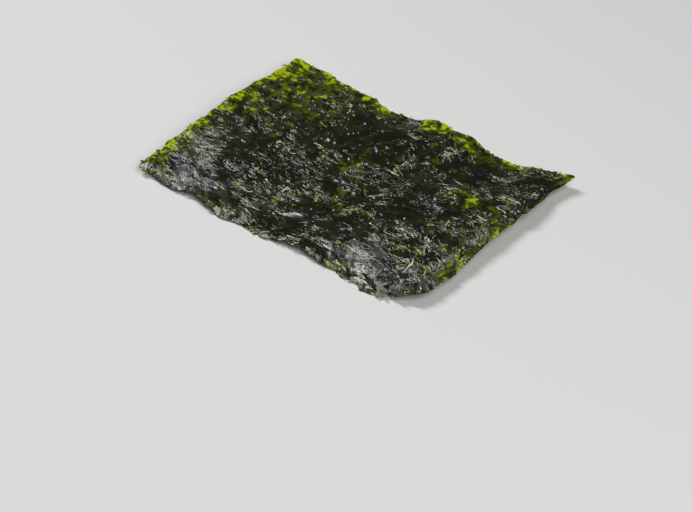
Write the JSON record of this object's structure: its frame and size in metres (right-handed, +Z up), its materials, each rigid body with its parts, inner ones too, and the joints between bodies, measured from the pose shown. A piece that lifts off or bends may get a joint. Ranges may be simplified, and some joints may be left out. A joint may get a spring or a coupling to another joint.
{
  "type": "nori sheet",
  "caption": "Cut rectangular sheet of roasted, oiled and salted laver: thin, dark green, crinkled and wavy, with frayed edges, eaten as a crisp snack or a wrap.",
  "frame": {"origin": "on the table under the middle of the sheet's outline", "axes": "+X along the long side, +Y along the short side, +Z up out of the glossy upper face"},
  "size_m": [0.0974, 0.0708, 0.0062],
  "materials": {
    "laver": "oiled, crinkled, half glossy"
  },
  "bodies": {
    "root": {"nori_sheet": "laver"}
  },
  "joints": []
}
